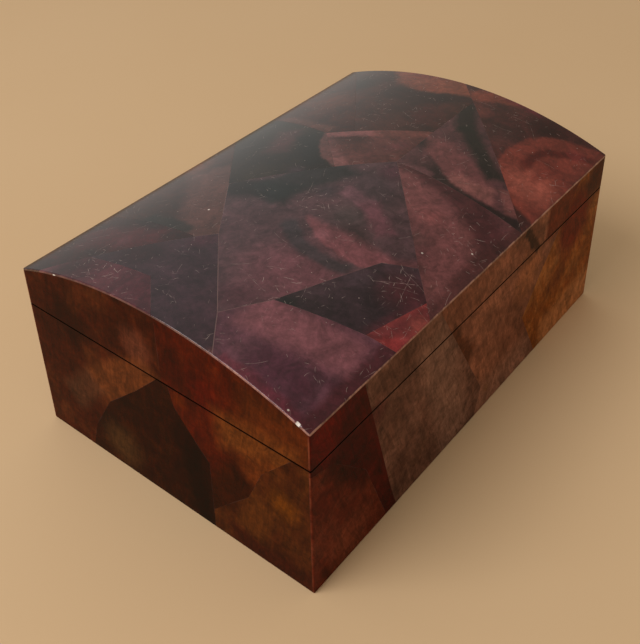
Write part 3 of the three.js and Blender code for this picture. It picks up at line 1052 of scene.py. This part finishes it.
# The pieces of the front, back and ends
SIDE_SHELL = {
    "front_left": ("5a1e0e", "70341f", "824c38", front_left),
    "front_band": ("400402", "540c04", "681a10", front_band),
    "front_middle_left": ("645046", "806c60", "98867a", front_middle_left),
    "front_middle_right": ("7a5a48", "9a7862", "b69278", front_middle_right),
    "front_right": ("80480c", "a67430", "c49c5a", front_right),
    "left_back": ("380c00", "4c200a", "623a1c", left_back),
    "left_bell": ("200200", "300c00", "3e1c02", left_bell),
    "left_middle": ("4a1200", "5e1e02", "70300a", left_middle),
    "left_front": ("42200a", "563214", "6a481e", left_front),
    "right_front": ("42200a", "563214", "6a481e", left_front),
    "right_foot": ("200200", "300c00", "3e1c02", None),
    "right_middle": ("4a1200", "5e1e02", "70300a", left_middle),
    "right_back": ("380c00", "4c200a", "623a1c", left_back),
    "back_left": ("561a0a", "6a2e1c", "7c4834", front_left),
    "back_middle_left": ("6a3c1c", "8a5830", "a87848", None),
    "back_middle_right": ("5c483e", "746054", "8a766a", front_middle_right),
    "back_right": ("38140a", "502416", "643826", None),
}


def shell_finish(side, name, seed):
    rows = TOP_SHELL if side == "top" else SIDE_SHELL
    dark, middle, light, figure = rows[name if side == "top" else f"{side}_{name}"]
    shell = Shell(f"dyed shell {side} {name}", side, seed, dark, middle, light)
    if figure:
        figure(shell)
    shell.mottle()
    if side == "top":
        shell.scratches()
    shell.lacquer(1.0 if side == "top" else 0.4)
    return shell.material


def shell_piece(node, material, side):
    mesh = shell_mesh(node, glued_outline(node, SIDES[side]), SIDES[side])
    mesh.materials.append(material)
    piece = bpy.data.objects.new(node + ".look", mesh)
    bpy.context.scene.collection.objects.link(piece)
    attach(piece, "root")
    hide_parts(node)


def dress_in_shell():
    finishes = {}
    for node in sorted(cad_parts):
        if not node.startswith("shell_"):
            continue
        _, side, *rest = node.split("_")
        name = "_".join(rest if side == "top" else rest[1:])
        key = (side, name)
        if key not in finishes:
            finishes[key] = shell_finish(side, name, len(finishes) + 1)
        shell_piece(node, finishes[key], side)


# The wooden cases

# How finely the grain and the rings run along X, Y and Z, and where the painted shade beside the seam ends
GRAIN = (60.0, 900.0, 900.0)
RINGS = (6.0, 70.0, 70.0)
SEAM_SHADE_ENDS = (3.0, 5.0)


def case_wood():
    """Plain wood, painted nearly black as shade where it shows round the seam between the body and the
    lid.
    """
    wood = Finish("wood of the cases")
    place = wood.place()
    grain = wood.noise(wood.vector("MULTIPLY", place, GRAIN), 1.0, 5.0, 0.6, 0.4)
    rings = wood.noise(wood.vector("MULTIPLY", place, RINGS), 1.0, 3.0, 0.5)
    stops = [(0.3, dye("7c5a3c")), (0.52, dye("a07a56")), (0.72, dye("b8946e"))]
    plain = wood.add("ShaderNodeValToRGB", {"stops": stops}, {0: grain * 0.5 + rings * 0.5})
    height = wood.add("ShaderNodeSeparateXYZ", {}, {0: place}, output="Z") * PER_METRE
    # Painted shade: the wood turns nearly black close to the seam, where the narrow gap falls into shade.
    seam_shade = wood.ease(abs(height - SEAM) + (grain - 0.5) * 2.0, *SEAM_SHADE_ENDS, 1.0, 0.0)
    wood.set(
        specular_ior_level=0.2,
        base_color=wood.mix(seam_shade, plain, dye("0a0502")),
        roughness=grain * 0.25 + 0.45,
    )
    wood.bump(grain, 0.3, 0.4)
    return wood.material


def dress_cases():
    wood = case_wood()
    for node in ("body_case", "lid_case"):
        for mesh_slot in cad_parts[node].material_slots:
            mesh_slot.material = wood


# Floor, light and camera

FLOOR_WIDTH = 6.0


def floor():
    bpy.ops.mesh.primitive_plane_add(size=FLOOR_WIDTH, location=(0, 0, 0))
    plane = bpy.context.object
    plane.name = "floor"
    paper = Finish("pale floor")
    tone = paper.noise(paper.place(), 2.0, 3.0, 0.5)
    paper.set(base_color=paper.mix(tone, dye("deb88a"), dye("e6c49a")), roughness=0.85)
    plane.data.materials.append(paper.material)


# A large soft lamp, high on the bright side, turned toward the middle of the box
LAMP_PLACE = Vector((-1.6, 0.6, 1.8))
LAMP_TARGET = Vector((0.0, 0.0, 0.06))
LAMP_SIZE = (1.6, 1.2)
LAMP_POWER = 28.0

# The soft light all round, from its dim warm side, toward the front and right, to its bright side
STUDIO = [
    (-0.45, (0.28, 0.24, 0.19, 1)),
    (-0.17, (0.43, 0.39, 0.32, 1)),
    (0.13, (0.58, 0.56, 0.52, 1)),
    (0.3, (0.6, 0.57, 0.54, 1)),
    (0.48, (0.48, 0.46, 0.43, 1)),
]
TOWARD_BRIGHT = (-0.6, 0.8, 0.0)


def soft_lamp():
    lamp = bpy.data.lights.new("soft lamp", "AREA")
    lamp.shape = "RECTANGLE"
    lamp.size, lamp.size_y = LAMP_SIZE
    lamp.energy = LAMP_POWER
    holder = bpy.data.objects.new("soft lamp", lamp)
    holder.location = LAMP_PLACE
    holder.rotation_euler = (LAMP_TARGET - LAMP_PLACE).to_track_quat("-Z", "Y").to_euler()
    bpy.context.scene.collection.objects.link(holder)


def studio_light():
    world = bpy.data.worlds.new("studio")
    world.use_nodes = True
    glow = Nodes(world.node_tree, "ShaderNodeBackground", "ShaderNodeOutputWorld")
    sockets = {0: glow.add("ShaderNodeTexCoord", {}, {}, output="Generated"), 1: TOWARD_BRIGHT}
    level = glow.add("ShaderNodeVectorMath", {"operation": "DOT_PRODUCT"}, sockets, output=1)
    dimmest, brightest = STUDIO[0][0], STUDIO[-1][0]
    share = glow.add("ShaderNodeMapRange", {}, {0: level, 1: dimmest, 2: brightest})
    stops = [((side - dimmest) / (brightest - dimmest), colour) for side, colour in STUDIO]
    glow.set(color=glow.add("ShaderNodeValToRGB", {"stops": stops}, {0: share}))
    bpy.context.scene.world = world


# The camera: its angles in degrees, how far off it stands, how far it slides and rises, and its lens
AZIMUTH, ELEVATION, ROLL = -51.088, 32.857, -1.136
DISTANCE, SLIDE, RISE = 0.647975, -0.009717, 0.102345
FOCAL_LENGTH, SENSOR, SHIFT = 55.7825, 36.0, -0.2
NEAREST_SEEN = 0.01


def camera():
    azimuth, elevation, roll = (math.radians(angle) for angle in (AZIMUTH, ELEVATION, ROLL))
    outward = Vector((math.sin(azimuth), -math.cos(azimuth), 0))
    back = outward * math.cos(elevation) + Vector((0, 0, math.sin(elevation)))
    level = Vector((math.cos(azimuth), math.sin(azimuth), 0))
    up = back.cross(level)
    place = back * DISTANCE + level * SLIDE + up * RISE
    right = level * math.cos(roll) + up * math.sin(roll)
    above = up * math.cos(roll) - level * math.sin(roll)
    data = bpy.data.cameras.new("camera")
    data.lens = FOCAL_LENGTH
    data.sensor_width = SENSOR
    data.shift_y = SHIFT
    data.clip_start = NEAREST_SEEN
    holder = bpy.data.objects.new("camera", data)
    holder.matrix_world = Matrix.Translation(place) @ Matrix((right, above, back)).transposed().to_4x4()
    bpy.context.scene.collection.objects.link(holder)
    bpy.context.scene.camera = holder


bpy.context.scene.view_settings.view_transform = "Standard"
dress_cases()
dress_in_shell()
floor()
soft_lamp()
studio_light()
camera()
